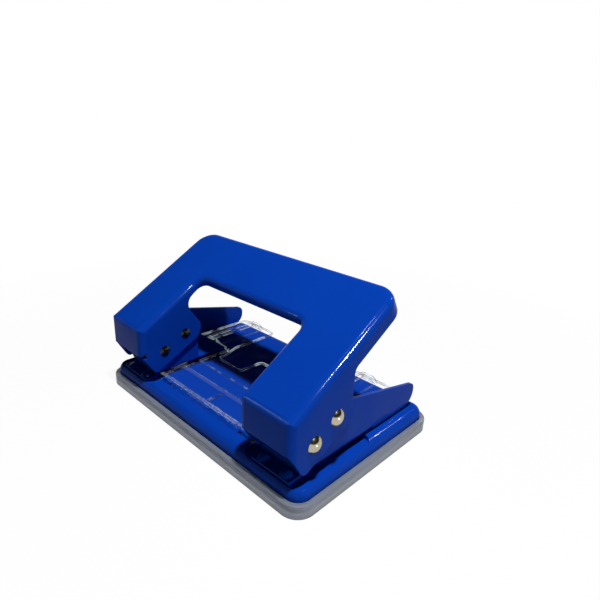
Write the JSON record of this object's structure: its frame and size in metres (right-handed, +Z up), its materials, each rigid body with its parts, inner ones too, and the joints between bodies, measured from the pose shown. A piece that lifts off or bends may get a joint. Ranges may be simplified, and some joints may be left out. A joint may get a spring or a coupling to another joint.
{
  "type": "two-hole punch",
  "caption": "Desk punch: a pressed steel handle drives two sprung punches in riveted brackets, with dies in the base, a clear paper guide and a pull-off chip tray.",
  "frame": {"origin": "centre of the tray's underside, on the table", "axes": "+X along the two holes to the right seen from the front, +Y to the back where the sheet enters, +Z up"},
  "size_m": [0.1114, 0.0724, 0.0586],
  "materials": {
    "blue_paint": "gloss",
    "bright_steel": "turned",
    "nickel": "polished",
    "milky_plastic": "satin",
    "clear_plastic": "gloss"
  },
  "bodies": {
    "base": {"base_plate": "blue_paint", "left_bracket": "blue_paint", "right_bracket": "blue_paint", "left_die": "bright_steel", "right_die": "bright_steel", "left_bracket_rivets": "bright_steel", "right_bracket_rivets": "bright_steel", "left_guide_bush": "bright_steel", "right_guide_bush": "bright_steel", "paper_guide": "clear_plastic", "left_pivot_pin": "nickel", "right_pivot_pin": "nickel"},
    "tray": {"chip_tray": "milky_plastic"},
    "lever": {"handle": "blue_paint", "left_drive_pin": "nickel", "right_drive_pin": "nickel"},
    "left_punch_body": {"left_punch": "bright_steel", "left_spring_washer": "bright_steel", "left_spring": "bright_steel"},
    "right_punch_body": {"right_punch": "bright_steel", "right_spring_washer": "bright_steel", "right_spring": "bright_steel"}
  },
  "joints": [
    {"name": "handle_press", "type": "hinge", "parent": "base", "child": "lever", "pos_m": [0, -0.02533, 0.0199], "axis": [-1, 0, 0], "range_deg": [0, 22], "stiffness_Nm_per_rad": 0.6, "springref_deg": -18.91},
    {"name": "left_punch_travel", "type": "slide", "parent": "base", "child": "left_punch_body", "axis": [0, 0, -1], "range_m": [0, 0.00398], "deforming": ["left_spring"]},
    {"name": "right_punch_travel", "type": "slide", "parent": "base", "child": "right_punch_body", "axis": [0, 0, -1], "range_m": [0, 0.00398], "deforming": ["right_spring"]},
    {"name": "tray_pull_off", "type": "slide", "parent": "base", "child": "tray", "axis": [0, 0, -1], "range_m": [0, 0.012]}
  ],
  "couplings": [
    {"joint": "left_punch_travel", "follows": "handle_press", "m_per_rad": 0.010354},
    {"joint": "right_punch_travel", "follows": "handle_press", "m_per_rad": 0.010354}
  ]
}
